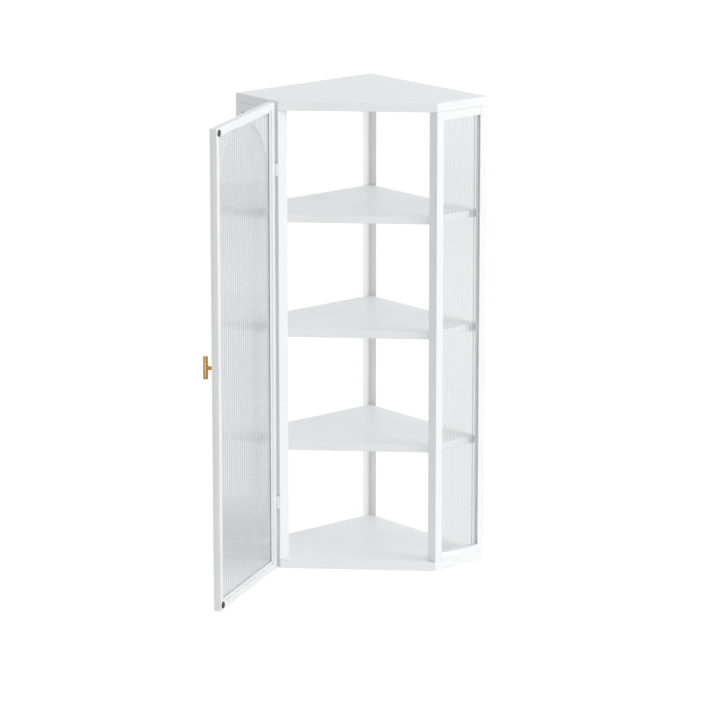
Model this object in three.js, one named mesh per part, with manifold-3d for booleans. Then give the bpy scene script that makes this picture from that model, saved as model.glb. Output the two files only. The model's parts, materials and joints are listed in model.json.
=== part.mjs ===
// A glazed corner cupboard: a five-sided case of folded steel trays and rebated tube frames, open to
// the two room walls, with one full-height arched glass door, drawn open as it stands in the photograph.
// Millimetres, +Z up, the front faces -Y. The origin is the middle of the underside, on the floor.

import * as THREE from 'three';
import { mergeVertices } from 'three/addons/utils/BufferGeometryUtils.js';
import Module from 'manifold-3d';

const wasm = await Module();
wasm.setup();

// Overall sizes of the case.
const HEIGHT = 1000; // floor to the top face
const WALL_SIDE = 370; // back corner to the end of the case, along each room wall
const RETURN_SIDE = 138; // width of each glazed side, which stands square to its wall
const TRAY_HEIGHT = 19; // top and base trays
const TRAY_SHEET = 1.2; // their steel
const TRAY_RETURN = 26; // flange turned in under the tray's skirt

// Shelves, which are shallower trays between the posts.
const SHELF_HEIGHT = 15.5;
const SHELF_SHEET = 1;
const SHELF_RETURN = 13;
const SHELF_POST_GAP = 1; // front corners behind the inner corners of the front posts
const SHELF_LIFT = 6; // all shelves stand this far above an even spacing
const SHELF_WALL_GAP = 0.5; // to the inside of the corner angle

// Posts and rails of the glazed sides: a tube with an outer fin that the glass lies behind.
const FRAME_FACE = 18; // width seen from outside, fin included
const FRAME_DEPTH = 24; // square to the glass
const FRAME_WALL = 1.2;
const FIN_WIDTH = 6;
const FIN_THICKNESS = 3;
const CORNER_LEG = 20; // legs of the angle in the back corner
const CORNER_WALL = 1.5;

// Reeded glass, the same sheet in the sides and in the door.
const GLASS_THICKNESS = 4;
const REED_PITCH = 10.6;
const REED_DEPTH = 1;
const REED_STEPS = 6; // straight faces on one reed
const BEAD_DEPTH = 6; // strip that holds a side glass from inside

// The door: a tube frame with an inner fin, behind one arched face panel.
const DOOR_THICKNESS = 15;
const DOOR_PANEL = 5; // depth of the arched face panel's folded edge
const DOOR_SHEET = 1.2;
const DOOR_TUBE_FACE = 14;
const DOOR_FIN_WIDTH = 5.5;
const DOOR_FIN_THICKNESS = 1.2;
const ARCH_TOP_MARGIN = 18; // door top down to the crown of the arch
const ARCH_STEPS = 32;
const DOOR_GAP = 2; // case front to the door's inner face when it is shut
const DOOR_FLOOR_GAP = 3;
const DOOR_TOP_GAP = 0.5;
const DOOR_FREE_GAP = 0.5; // free edge inside the end of the case front
const DOOR_OPEN = 105; // degrees, as photographed

// Two butt hinges with their knuckles outside the case.
const HINGE_LENGTH = 27;
const HINGE_INSET = 142; // door end to the middle of the hinge
const KNUCKLE_RADIUS = 3;
const KNUCKLE_SEAT_GAP = 0.54; // knuckle to the side of the case
const KNUCKLE_SHARE = 0.37; // of the hinge's length, the door's middle knuckle
const PIN_RADIUS = 1.2;
const PIN_HEAD_RADIUS = 2;
const PIN_HEAD = 1;
const LEAF_THICKNESS = 1.2;
const LEAF_WIDTH = 12;
const LEAF_STANDOFF = 1; // knuckle to the door's leaf
const LEAF_MARGIN = 2; // door leaf short of the door's outer face

// Screws, glides, magnets and the knob.
const SCREW_RADIUS = 1.5;
const SCREW_HEAD_RADIUS = 2.6;
const SCREW_HEAD = 1.3;
const SCREW_BITE = 4; // shank beyond the sheet it holds
const SCREW_SPACING = 15; // between the two screws of a hinge leaf
const GLIDE_PROUD = 1;
const GLIDE_RADIUS = 9;
const GLIDE_STEM_RADIUS = 2.5;
const GLIDE_STEM = 4;
const STIFFENER_WIDTH = 50;
const MAGNET_RADIUS = 7;
const MAGNET_SIDE_INSET = 13; // free edge of the door to the magnet's middle
const MAGNET_END_INSET = 10; // top or bottom of the door to its middle
const MAGNET_AIR = 0.4; // magnet to the tray that it pulls, door shut
const KNOB_HEIGHT = 509.5; // floor to the middle of the knob
const KNOB_EDGE_INSET = 10; // free edge of the door to the knob's neck
const KNOB_LENGTH = 47;
const KNOB_RADIUS = 5;
const KNOB_PROJECTION = 22; // door face to the far side of the bar
const KNOB_CHAMFER = 0.8;
const NECK_RADIUS = 4.3;
const NECK_WAIST = 4; // radius halfway along the neck
const SPIGOT_RADIUS = 3;
const SPIGOT_LENGTH = 5;
const STUD_RADIUS = 2;
const NUT_RADIUS = 4; // to its corners
const NUT_THICKNESS = 3;

// Clearances and cutting.
const SEAT = 0.3; // between pieces that rest on each other
const HOLE_CLEARANCE = 0.3; // radial, round screws, pins and studs
const OVERRUN = 2; // cutters reach this far past what they cut
const ROUND_STEPS = 24; // sides of a small round piece
const NUT_SIDES = 6;

// Places worked out from the sizes.
const DIAGONAL = Math.SQRT1_2;
const DEPTH = (WALL_SIDE + RETURN_SIDE) * DIAGONAL;
const HALF_WIDTH = WALL_SIDE * DIAGONAL;
const HALF_FRONT = (WALL_SIDE - RETURN_SIDE) * DIAGONAL;
const BACK_Y = DEPTH / 2;
const FRONT_Y = -DEPTH / 2;
const WALL_Y = BACK_Y - HALF_WIDTH;
const BASE_TOP = GLIDE_PROUD + TRAY_HEIGHT;
const CEILING = HEIGHT - TRAY_HEIGHT;
const TUBE_FACE = FRAME_FACE - FIN_WIDTH;
const CASE_OUTLINE = [
  [0, BACK_Y],
  [-HALF_WIDTH, WALL_Y],
  [-HALF_FRONT, FRONT_Y],
  [HALF_FRONT, FRONT_Y],
  [HALF_WIDTH, WALL_Y],
];
const SHELVES = ['lower', 'middle', 'upper'];

// The hinge axis stands off the corner between the case's front and its left side.
const AXIS_FORWARD = DOOR_GAP / 2;
const AXIS_OUT = KNUCKLE_RADIUS + KNUCKLE_SEAT_GAP;
const AXIS_SIDE = AXIS_OUT / DIAGONAL - AXIS_FORWARD;
const AXIS_X = -HALF_FRONT - AXIS_SIDE;
const AXIS_Y = FRONT_Y - AXIS_FORWARD;
const LEAF_START = (AXIS_SIDE - AXIS_FORWARD) * DIAGONAL; // case corner to the axis, along the side
const KNUCKLE_LENGTH = HINGE_LENGTH * KNUCKLE_SHARE;
const KNUCKLE_BOTTOM = (HINGE_LENGTH - KNUCKLE_LENGTH) / 2;
const LEAF_SCREW_X = KNUCKLE_RADIUS + SCREW_HEAD_RADIUS + SEAT;

// The door's own frame: x from the hinge axis to the free edge, y towards the case, z up from the floor.
const DOOR_X = KNUCKLE_RADIUS + LEAF_STANDOFF + LEAF_THICKNESS + SEAT;
const DOOR_WIDTH = 2 * HALF_FRONT + AXIS_SIDE - DOOR_X - DOOR_FREE_GAP;
const DOOR_END_X = DOOR_X + DOOR_WIDTH;
const DOOR_BOTTOM = DOOR_FLOOR_GAP;
const DOOR_TOP = HEIGHT - DOOR_TOP_GAP;
const DOOR_HEIGHT = DOOR_TOP - DOOR_BOTTOM;
const DOOR_INNER_Y = AXIS_FORWARD - DOOR_GAP;
const DOOR_OUTER_Y = DOOR_INNER_Y - DOOR_THICKNESS;
const DOOR_TUBE_DEPTH = DOOR_THICKNESS - DOOR_PANEL - SEAT;
const DOOR_GLASS_Y = DOOR_INNER_Y - DOOR_TUBE_DEPTH;
const DOOR_FIN_Y = DOOR_GLASS_Y + GLASS_THICKNESS + SEAT;
const ARCH_SIDE_MARGIN = DOOR_TUBE_FACE + DOOR_FIN_WIDTH;
const HINGES = [
  ['lower', DOOR_BOTTOM + HINGE_INSET - HINGE_LENGTH / 2],
  ['upper', DOOR_TOP - HINGE_INSET - HINGE_LENGTH / 2],
];

const paintedSteel = new THREE.MeshStandardMaterial({ color: 0xf3f3f1, roughness: 0.5, metalness: 0 });
const reededGlass = new THREE.MeshStandardMaterial({ color: 0xdce4e4, roughness: 0.12, metalness: 0 });
const brass = new THREE.MeshStandardMaterial({ color: 0xc8974a, roughness: 0.3, metalness: 1 });
const magnetSteel = new THREE.MeshStandardMaterial({ color: 0x4a4c50, roughness: 0.4, metalness: 1 });
const zincSteel = new THREE.MeshStandardMaterial({ color: 0xb9bbbd, roughness: 0.35, metalness: 1 });
const glideNylon = new THREE.MeshStandardMaterial({ color: 0xe4e4e0, roughness: 0.6, metalness: 0 });

// Outlines and solids.

// A closed outline that runs anticlockwise, whichever way its points were given.
function path(points, Kind = THREE.Path) {
  const corners = points.map(([x, y]) => new THREE.Vector2(x, y));
  return new Kind(THREE.ShapeUtils.isClockWise(corners) ? corners.reverse() : corners);
}

function rectangle(x0, y0, x1, y1) {
  return [[x0, y0], [x1, y0], [x1, y1], [x0, y1]];
}

// A closed outline whose edges are moved inwards; the points run anticlockwise.
function inset(points, distance) {
  const lines = points.map(([x, y], i) => {
    const [nextX, nextY] = points[(i + 1) % points.length];
    const length = Math.hypot(nextX - x, nextY - y);
    const direction = [(nextX - x) / length, (nextY - y) / length];
    return { x: x - direction[1] * distance, y: y + direction[0] * distance, direction };
  });
  return lines.map((line, i) => {
    const before = lines[(i + lines.length - 1) % lines.length];
    const turn = before.direction[0] * line.direction[1] - before.direction[1] * line.direction[0];
    const reach = ((line.x - before.x) * line.direction[1] - (line.y - before.y) * line.direction[0]) / turn;
    return [before.x + before.direction[0] * reach, before.y + before.direction[1] * reach];
  });
}

function prism(points, height, hole) {
  const shape = path(points, THREE.Shape);
  if (hole) shape.holes.push(path(hole));
  return new THREE.ExtrudeGeometry(shape, { depth: height, bevelEnabled: false });
}

function box(x0, y0, z0, x1, y1, z1) {
  const geometry = new THREE.BoxGeometry(x1 - x0, y1 - y0, z1 - z0);
  return geometry.translate((x0 + x1) / 2, (y0 + y1) / 2, (z0 + z1) / 2);
}

// A round bar from z0 to z1.
function rod(radius, z0, z1, steps = ROUND_STEPS) {
  const geometry = new THREE.CylinderGeometry(radius, radius, z1 - z0, steps);
  return geometry.rotateX(Math.PI / 2).translate(0, 0, (z0 + z1) / 2);
}

// A turned piece from [radius, height] points that start and end on the axis, standing along z.
function turned(profile) {
  const points = profile.map(([radius, height]) => new THREE.Vector2(radius, height));
  return new THREE.LatheGeometry(points, ROUND_STEPS).rotateX(Math.PI / 2);
}

// Lays a prism drawn in (y, z) along x.
function alongX(geometry) {
  const [x, y, z] = [new THREE.Vector3(1, 0, 0), new THREE.Vector3(0, 1, 0), new THREE.Vector3(0, 0, 1)];
  return geometry.applyMatrix4(new THREE.Matrix4().makeBasis(y, z, x));
}

// Stands a prism drawn in (x, z) up, so that it fills y from near to near plus its thickness.
function upright(geometry, near, thickness) {
  return geometry.rotateX(Math.PI / 2).translate(0, near + thickness, 0);
}

function toSolid(geometry) {
  const bare = geometry.clone();
  bare.deleteAttribute('normal');
  bare.deleteAttribute('uv');
  const merged = mergeVertices(bare);
  const mesh = new wasm.Mesh({
    numProp: 3,
    vertProperties: new Float32Array(merged.attributes.position.array),
    triVerts: new Uint32Array(merged.index.array),
  });
  return new wasm.Manifold(mesh);
}

function toGeometry(solid) {
  const mesh = solid.getMesh();
  const geometry = new THREE.BufferGeometry();
  geometry.setAttribute('position', new THREE.BufferAttribute(mesh.vertProperties, 3));
  geometry.setIndex(new THREE.BufferAttribute(mesh.triVerts, 1));
  const faceted = geometry.toNonIndexed();
  faceted.computeVertexNormals();
  return faceted;
}

function join(...geometries) {
  return toGeometry(geometries.map(toSolid).reduce((whole, piece) => whole.add(piece)));
}

function cut(geometry, ...cutters) {
  return toGeometry(cutters.map(toSolid).reduce((whole, cutter) => whole.subtract(cutter), toSolid(geometry)));
}

function add(group, name, geometry, material) {
  const mesh = new THREE.Mesh(geometry, material);
  mesh.name = name;
  group.add(mesh);
  return mesh;
}

// A tray of folded sheet: a top skin, a skirt all round and a flange turned in at its foot.
function tray(outline, height, sheet, flange) {
  const hollow = prism(inset(outline, sheet), height - 2 * sheet).translate(0, 0, sheet);
  const mouth = prism(inset(outline, flange), OVERRUN + 2 * sheet).translate(0, 0, -OVERRUN);
  return cut(prism(outline, height), hollow, mouth);
}

// A sheet with one flat face on y = 0 and upright reeds on the other, standing from z = 0.
function reededSheet(width, height) {
  const reeds = Math.max(1, Math.round(width / REED_PITCH));
  const count = reeds * REED_STEPS;
  const points = [[0, 0], [width, 0]];
  for (let i = count; i >= 0; i -= 1) {
    const swell = Math.abs(Math.sin((Math.PI * i) / REED_STEPS));
    points.push([(width * i) / count, GLASS_THICKNESS - REED_DEPTH * (1 - swell)]);
  }
  return prism(points, height);
}

// A pan-head screw along z: its head's underside is at z = 0 and its shank points down.
function screw(length) {
  return turned([
    [0, -length],
    [SCREW_RADIUS, -length],
    [SCREW_RADIUS, 0],
    [SCREW_HEAD_RADIUS, 0],
    [SCREW_HEAD_RADIUS, SCREW_HEAD / 2],
    [SCREW_HEAD_RADIUS - SCREW_HEAD / 2, SCREW_HEAD],
    [0, SCREW_HEAD],
  ]);
}

// The case.

const cabinet = new THREE.Group();

function shelfTop(index) {
  const pitch = (CEILING + SHELF_HEIGHT - BASE_TOP) / (SHELVES.length + 1);
  return BASE_TOP + pitch * (index + 1) + SHELF_LIFT;
}

// The two glazed sides lie in groups whose x runs along the panel, to the left seen from inside, and
// whose y points into the case. On the left x runs from the wall to the front, on the right the other way.
const SIDES = [
  { name: 'left', corner: [-HALF_WIDTH, WALL_Y], turn: -Math.PI / 4, front: RETURN_SIDE, wall: 0 },
  { name: 'right', corner: [HALF_FRONT, FRONT_Y], turn: Math.PI / 4, front: 0, wall: RETURN_SIDE },
].map((side) => {
  const group = new THREE.Group();
  group.position.set(side.corner[0], side.corner[1], 0);
  group.rotation.z = side.turn;
  group.updateMatrixWorld();
  cabinet.add(group);
  const posts = ['front', 'wall'].map((end) => ({ end, edge: side[end], into: side[end] > 0 ? -1 : 1 }));
  return { ...side, group, posts };
});

function postScrewX(post) {
  return post.edge + (post.into * TUBE_FACE) / 2;
}

function shelfScrewZ(index) {
  return shelfTop(index) - SHELF_HEIGHT / 2;
}

// A round hole square to a glazed side, through the post's inner wall and the shelf's skirt.
function shelfScrewHole(post, index) {
  const reach = FRAME_WALL + SEAT + SHELF_SHEET;
  const hole = rod(SCREW_RADIUS + HOLE_CLEARANCE, -OVERRUN, reach + OVERRUN).rotateX(-Math.PI / 2);
  return hole.translate(postScrewX(post), FRAME_DEPTH - FRAME_WALL, shelfScrewZ(index));
}

// Five sides like the case, from just behind the front posts to the corner angle.
function shelfOutline() {
  const side = (FRAME_DEPTH + SEAT) * DIAGONAL;
  const postGap = SHELF_POST_GAP * DIAGONAL;
  const wallGap = (CORNER_WALL + SHELF_WALL_GAP) / DIAGONAL;
  const half = [
    [HALF_FRONT - side + postGap, FRONT_Y + side + postGap],
    [HALF_WIDTH - side - wallGap / 2, WALL_Y + side - wallGap / 2],
  ];
  const mirrored = half.map(([x, y]) => [-x, y]).reverse();
  return [[0, BACK_Y - wallGap], ...mirrored, ...half];
}

function addTrays() {
  const top = tray(CASE_OUTLINE, TRAY_HEIGHT, TRAY_SHEET, TRAY_RETURN);
  add(cabinet, 'top_panel', top, paintedSteel).position.z = CEILING;
  const stems = glidePlaces().slice(0, -1).map(({ x, y }) => stemHole(x, y));
  const base = cut(tray(CASE_OUTLINE, TRAY_HEIGHT, TRAY_SHEET, TRAY_RETURN), ...stems);
  add(cabinet, 'base_panel', base, paintedSteel).position.z = GLIDE_PROUD;
  SHELVES.forEach((name, index) => {
    const holes = SIDES.flatMap((side) => side.posts.map((post) => {
      const hole = shelfScrewHole(post, index).applyMatrix4(side.group.matrixWorld);
      return hole.translate(0, 0, SHELF_HEIGHT - shelfTop(index));
    }));
    const shelf = cut(tray(shelfOutline(), SHELF_HEIGHT, SHELF_SHEET, SHELF_RETURN), ...holes);
    add(cabinet, `shelf_${name}`, shelf, paintedSteel).position.z = shelfTop(index) - SHELF_HEIGHT;
  });
}

// Glides sit in the middle of the base's turned-in flange, below each corner, and one below the channel.
function glidePlaces() {
  const names = ['back', 'wall_left', 'front_left', 'front_right', 'wall_right'];
  const places = inset(CASE_OUTLINE, TRAY_RETURN / 2).map(([x, y], i) => ({ name: names[i], x, y }));
  return [...places, { name: 'centre', x: 0, y: 0 }];
}

function stemHole(x, y) {
  return rod(GLIDE_STEM_RADIUS + HOLE_CLEARANCE, -OVERRUN, TRAY_SHEET + OVERRUN).translate(x, y, 0);
}

function addGlides() {
  const glide = turned([
    [0, 0],
    [GLIDE_RADIUS, 0],
    [GLIDE_RADIUS, GLIDE_PROUD],
    [GLIDE_STEM_RADIUS, GLIDE_PROUD],
    [GLIDE_STEM_RADIUS, GLIDE_PROUD + GLIDE_STEM],
    [0, GLIDE_PROUD + GLIDE_STEM],
  ]);
  glidePlaces().forEach(({ name, x, y }) => {
    add(cabinet, `glide_${name}`, glide.clone(), glideNylon).position.set(x, y, 0);
  });
}

// A channel under the base's skin, its web level with the flange, from the front flange to the rear ones.
function addStiffener() {
  const half = STIFFENER_WIDTH / 2;
  const rise = TRAY_HEIGHT - TRAY_SHEET;
  const front = FRONT_Y + TRAY_RETURN + SEAT;
  const back = BACK_Y - TRAY_RETURN / DIAGONAL - half - SEAT;
  const section = [
    [-half, 0], [half, 0], [half, rise], [half - TRAY_SHEET, rise],
    [half - TRAY_SHEET, TRAY_SHEET], [TRAY_SHEET - half, TRAY_SHEET], [TRAY_SHEET - half, rise], [-half, rise],
  ];
  const channel = cut(upright(prism(section, back - front), front, back - front), stemHole(0, 0));
  add(cabinet, 'base_stiffener', channel, paintedSteel).position.z = GLIDE_PROUD;
}

function addCornerAngle() {
  const leg = CORNER_LEG * DIAGONAL;
  const wall = CORNER_WALL * DIAGONAL;
  const outline = [
    [0, BACK_Y], [-leg, BACK_Y - leg], [wall - leg, BACK_Y - leg - wall],
    [0, BACK_Y - 2 * wall], [leg - wall, BACK_Y - leg - wall], [leg, BACK_Y - leg],
  ];
  add(cabinet, 'back_post', prism(outline, CEILING - BASE_TOP), paintedSteel).position.z = BASE_TOP;
}

// Outline of a post: a tube with a fin over the glass, mirrored where the post is at the far end.
function postOutline({ edge, into }) {
  const at = (x) => edge + into * x;
  return [
    [at(0), 0], [at(FRAME_FACE), 0], [at(FRAME_FACE), FIN_THICKNESS],
    [at(TUBE_FACE), FIN_THICKNESS], [at(TUBE_FACE), FRAME_DEPTH], [at(0), FRAME_DEPTH],
  ];
}

function postHollow({ edge, into }) {
  const near = edge + into * FRAME_WALL;
  const far = edge + into * (TUBE_FACE - FRAME_WALL);
  return rectangle(near, FRAME_WALL, far, FRAME_DEPTH - FRAME_WALL);
}

// Holes for the hinge screws, through the outer wall of the post that carries the hinges.
function hingeScrewHoles(side, post) {
  if (side.name !== 'left' || post.end !== 'front') return [];
  const x = post.edge + post.into * (LEAF_START + LEAF_SCREW_X);
  return HINGES.flatMap(([, z]) => screwRows().map((row) => {
    const hole = rod(SCREW_RADIUS + HOLE_CLEARANCE, -OVERRUN, FRAME_WALL + OVERRUN).rotateX(-Math.PI / 2);
    return hole.translate(x, 0, z + row);
  }));
}

function screwRows() {
  return [(HINGE_LENGTH - SCREW_SPACING) / 2, (HINGE_LENGTH + SCREW_SPACING) / 2];
}

function addPost(side, post) {
  const tube = prism(postOutline(post), CEILING - BASE_TOP, postHollow(post)).translate(0, 0, BASE_TOP);
  const holes = SHELVES.map((name, index) => shelfScrewHole(post, index));
  const drilled = cut(tube, ...holes, ...hingeScrewHoles(side, post));
  add(side.group, `${side.name}_${post.end}_post`, drilled, paintedSteel);
}

// A rail between the posts, its fin notched back at both ends so that the posts' fins run through.
function addRail(side, name, foot, up) {
  const start = TUBE_FACE + SEAT;
  const length = RETURN_SIDE - 2 * start;
  const at = (z) => foot + up * z;
  const outline = [
    [0, at(0)], [FRAME_DEPTH, at(0)], [FRAME_DEPTH, at(TUBE_FACE)],
    [FIN_THICKNESS, at(TUBE_FACE)], [FIN_THICKNESS, at(FRAME_FACE)], [0, at(FRAME_FACE)],
  ];
  const hollow = rectangle(FRAME_WALL, at(FRAME_WALL), FRAME_DEPTH - FRAME_WALL, at(TUBE_FACE - FRAME_WALL));
  const tube = alongX(prism(outline, length, hollow)).translate(start, 0, 0);
  const notch = FIN_WIDTH + OVERRUN;
  const ends = [start - OVERRUN, start + length - FIN_WIDTH];
  const [low, high] = [at(-OVERRUN), at(FRAME_FACE + OVERRUN)].sort((a, b) => a - b);
  const notches = ends.map((x) => box(x, -OVERRUN, low, x + notch, FIN_THICKNESS + SEAT, high));
  add(side.group, `${side.name}_${name}_rail`, cut(tube, ...notches), paintedSteel);
}

function addSideGlass(side) {
  const edge = TUBE_FACE + SEAT;
  const width = RETURN_SIDE - 2 * edge;
  const height = CEILING - BASE_TOP - 2 * edge;
  const sheet = reededSheet(width, height).translate(edge, FIN_THICKNESS + SEAT, BASE_TOP + edge);
  add(side.group, `${side.name}_glass`, sheet, reededGlass);
  const margin = FIN_WIDTH - SEAT;
  const ring = prism(rectangle(0, 0, width, height), BEAD_DEPTH, inset(rectangle(0, 0, width, height), margin));
  const near = FIN_THICKNESS + GLASS_THICKNESS + 2 * SEAT;
  const bead = upright(ring, near, BEAD_DEPTH).translate(edge, 0, BASE_TOP + edge);
  add(side.group, `${side.name}_glass_bead`, bead, paintedSteel);
}

// Screws from inside each shelf's skirt into the posts.
function addShelfScrews(side) {
  const length = 2 * SEAT + SHELF_SHEET + FRAME_WALL + SCREW_BITE;
  const seat = FRAME_DEPTH + 2 * SEAT + SHELF_SHEET;
  SHELVES.forEach((shelf, index) => side.posts.forEach((post) => {
    const geometry = screw(length).rotateX(-Math.PI / 2);
    const name = `shelf_${shelf}_screw_${side.name}_${post.end}`;
    add(side.group, name, geometry, zincSteel).position.set(postScrewX(post), seat, shelfScrewZ(index));
  }));
}

function addSides() {
  SIDES.forEach((side) => {
    side.posts.forEach((post) => addPost(side, post));
    addRail(side, 'bottom', BASE_TOP, 1);
    addRail(side, 'top', CEILING, -1);
    addSideGlass(side);
    addShelfScrews(side);
  });
}

// The hinges' fixed halves lie in groups on the axis, whose x runs back along the left side of the case
// and whose y points away from it.
function addHingePost(name, bottom) {
  const group = new THREE.Group();
  group.position.set(AXIS_X, AXIS_Y, bottom);
  group.rotation.z = (3 * Math.PI) / 4;
  cabinet.add(group);
  const seat = SEAT - AXIS_OUT;
  const bore = rod(PIN_RADIUS + HOLE_CLEARANCE, -OVERRUN, HINGE_LENGTH + OVERRUN);
  const notchLow = KNUCKLE_BOTTOM - SEAT;
  const notchHigh = KNUCKLE_BOTTOM + KNUCKLE_LENGTH + SEAT;
  const notchEnd = KNUCKLE_RADIUS + 2 * SEAT;
  const middle = box(-notchEnd, -notchEnd, notchLow, notchEnd, notchEnd, notchHigh);
  const screwHoles = screwRows().map((row) => {
    const hole = rod(SCREW_RADIUS + HOLE_CLEARANCE, -OVERRUN, LEAF_THICKNESS + OVERRUN).rotateX(-Math.PI / 2);
    return hole.translate(LEAF_SCREW_X, seat, row);
  });
  const barrel = rod(KNUCKLE_RADIUS, 0, HINGE_LENGTH);
  const plate = box(0, seat, 0, LEAF_WIDTH, seat + LEAF_THICKNESS, HINGE_LENGTH);
  const leaf = cut(join(barrel, plate), bore, middle, ...screwHoles);
  add(group, `hinge_${name}_post_leaf`, leaf, paintedSteel);
  const head = HINGE_LENGTH + SEAT;
  const pin = turned([
    [0, -SEAT - PIN_HEAD], [PIN_HEAD_RADIUS, -SEAT - PIN_HEAD], [PIN_HEAD_RADIUS, -SEAT],
    [PIN_RADIUS, -SEAT], [PIN_RADIUS, head], [PIN_HEAD_RADIUS, head],
    [PIN_HEAD_RADIUS, head + PIN_HEAD], [0, head + PIN_HEAD],
  ]);
  add(group, `hinge_${name}_pin`, pin, zincSteel);
  const top = seat + LEAF_THICKNESS + SEAT;
  const length = LEAF_THICKNESS + FRAME_WALL + SCREW_BITE;
  screwRows().forEach((row, index) => {
    const fixing = add(group, `hinge_${name}_screw_${['bottom', 'top'][index]}`, screw(length), zincSteel);
    fixing.rotation.x = -Math.PI / 2;
    fixing.position.set(LEAF_SCREW_X, top, row);
  });
}

// The door, in a group on the hinge axis.

const door = new THREE.Group();
door.position.set(AXIS_X, AXIS_Y, 0);
door.rotation.z = (-DOOR_OPEN * Math.PI) / 180;
cabinet.add(door);

function addHingeDoor(name, bottom) {
  const low = bottom + KNUCKLE_BOTTOM;
  const barrel = rod(KNUCKLE_RADIUS, low, low + KNUCKLE_LENGTH);
  const plateX = KNUCKLE_RADIUS + LEAF_STANDOFF;
  const plateEnd = plateX + LEAF_THICKNESS;
  const webTop = LEAF_THICKNESS - KNUCKLE_RADIUS;
  const web = box(0, -KNUCKLE_RADIUS, low, plateEnd, webTop, low + KNUCKLE_LENGTH);
  const plate = box(plateX, DOOR_OUTER_Y + LEAF_MARGIN, bottom, plateEnd, webTop, bottom + HINGE_LENGTH);
  const bore = rod(PIN_RADIUS + HOLE_CLEARANCE, bottom, bottom + HINGE_LENGTH);
  add(door, `hinge_${name}_door_leaf`, cut(join(barrel, web, plate), bore), paintedSteel);
}

// A hollow upright, closed at the top, whose fin, on the side towards the glass, stops at the rails.
function addStile(name, edge, into) {
  const at = (x) => edge + into * x;
  const back = DOOR_INNER_Y - DOOR_TUBE_DEPTH;
  const outer = rectangle(at(0), back, at(DOOR_TUBE_FACE), DOOR_INNER_Y);
  const hollow = rectangle(
    at(DOOR_SHEET), back + DOOR_SHEET, at(DOOR_TUBE_FACE - DOOR_SHEET), DOOR_INNER_Y - DOOR_SHEET,
  );
  const tube = prism(outer, DOOR_HEIGHT, hollow).translate(0, 0, DOOR_BOTTOM);
  const [x0, x1] = [at(DOOR_TUBE_FACE - DOOR_SHEET), at(ARCH_SIDE_MARGIN)].sort((a, b) => a - b);
  const stop = DOOR_TUBE_FACE + SEAT;
  const fin = box(x0, DOOR_FIN_Y, DOOR_BOTTOM + stop, x1, DOOR_FIN_Y + DOOR_FIN_THICKNESS, DOOR_TOP - stop);
  const [left, right] = [at(0), at(DOOR_TUBE_FACE)].sort((a, b) => a - b);
  const lid = box(left, back, DOOR_TOP - DOOR_SHEET, right, DOOR_INNER_Y, DOOR_TOP);
  add(door, `door_${name}_stile`, join(tube, fin, lid), paintedSteel);
}

function addDoorRail(name, edge, into) {
  const at = (z) => edge + into * z;
  const start = DOOR_X + DOOR_TUBE_FACE + SEAT;
  const length = DOOR_WIDTH - 2 * (DOOR_TUBE_FACE + SEAT);
  const back = DOOR_INNER_Y - DOOR_TUBE_DEPTH;
  const outer = rectangle(back, at(0), DOOR_INNER_Y, at(DOOR_TUBE_FACE));
  const hollow = rectangle(
    back + DOOR_SHEET, at(DOOR_SHEET), DOOR_INNER_Y - DOOR_SHEET, at(DOOR_TUBE_FACE - DOOR_SHEET),
  );
  const tube = alongX(prism(outer, length, hollow)).translate(start, 0, 0);
  const [z0, z1] = [at(DOOR_TUBE_FACE - DOOR_SHEET), at(ARCH_SIDE_MARGIN)].sort((a, b) => a - b);
  const stop = ARCH_SIDE_MARGIN + SEAT;
  const fin = box(DOOR_X + stop, DOOR_FIN_Y, z0, DOOR_END_X - stop, DOOR_FIN_Y + DOOR_FIN_THICKNESS, z1);
  add(door, `door_${name}_rail`, join(tube, fin), paintedSteel);
}

// The arched opening of the face panel, grown on all sides, as a prism in (x, z).
function archOpening(grow, depth) {
  const radius = DOOR_WIDTH / 2 - ARCH_SIDE_MARGIN;
  const middle = DOOR_X + DOOR_WIDTH / 2;
  const spring = DOOR_TOP - ARCH_TOP_MARGIN - radius;
  const foot = DOOR_BOTTOM + ARCH_SIDE_MARGIN - grow;
  const shape = new THREE.Shape();
  shape.moveTo(middle - radius - grow, foot);
  shape.lineTo(middle + radius + grow, foot);
  shape.absarc(middle, spring, radius + grow, 0, Math.PI, false);
  shape.closePath();
  return new THREE.ExtrudeGeometry(shape, { depth, bevelEnabled: false, curveSegments: ARCH_STEPS });
}

// One sheet with an arched opening, its edges folded back all round and round the opening.
function addArchPanel() {
  const back = DOOR_OUTER_Y + DOOR_PANEL;
  const through = DOOR_PANEL + 2 * OVERRUN;
  const opening = upright(archOpening(0, through), DOOR_OUTER_Y - OVERRUN, through);
  const pocketDepth = DOOR_PANEL - DOOR_SHEET + OVERRUN;
  const pocketBox = box(
    DOOR_X + DOOR_SHEET, DOOR_OUTER_Y + DOOR_SHEET, DOOR_BOTTOM + DOOR_SHEET,
    DOOR_END_X - DOOR_SHEET, back + OVERRUN, DOOR_TOP - DOOR_SHEET,
  );
  const kept = upright(archOpening(DOOR_SHEET, pocketDepth + OVERRUN), DOOR_OUTER_Y, pocketDepth + OVERRUN);
  const pocket = cut(pocketBox, kept);
  const studHole = rod(STUD_RADIUS + HOLE_CLEARANCE, -OVERRUN, DOOR_PANEL).rotateX(-Math.PI / 2);
  studHole.translate(DOOR_END_X - KNOB_EDGE_INSET, DOOR_OUTER_Y, KNOB_HEIGHT);
  const blank = box(DOOR_X, DOOR_OUTER_Y, DOOR_BOTTOM, DOOR_END_X, back, DOOR_TOP);
  add(door, 'door_arch_panel', cut(blank, opening, pocket, studHole), paintedSteel);
}

function addDoorGlass() {
  const edge = DOOR_TUBE_FACE + SEAT;
  const sheet = reededSheet(DOOR_WIDTH - 2 * edge, DOOR_HEIGHT - 2 * edge);
  sheet.translate(DOOR_X + edge, DOOR_GLASS_Y, DOOR_BOTTOM + edge);
  add(door, 'door_glass', sheet, reededGlass);
}

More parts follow.
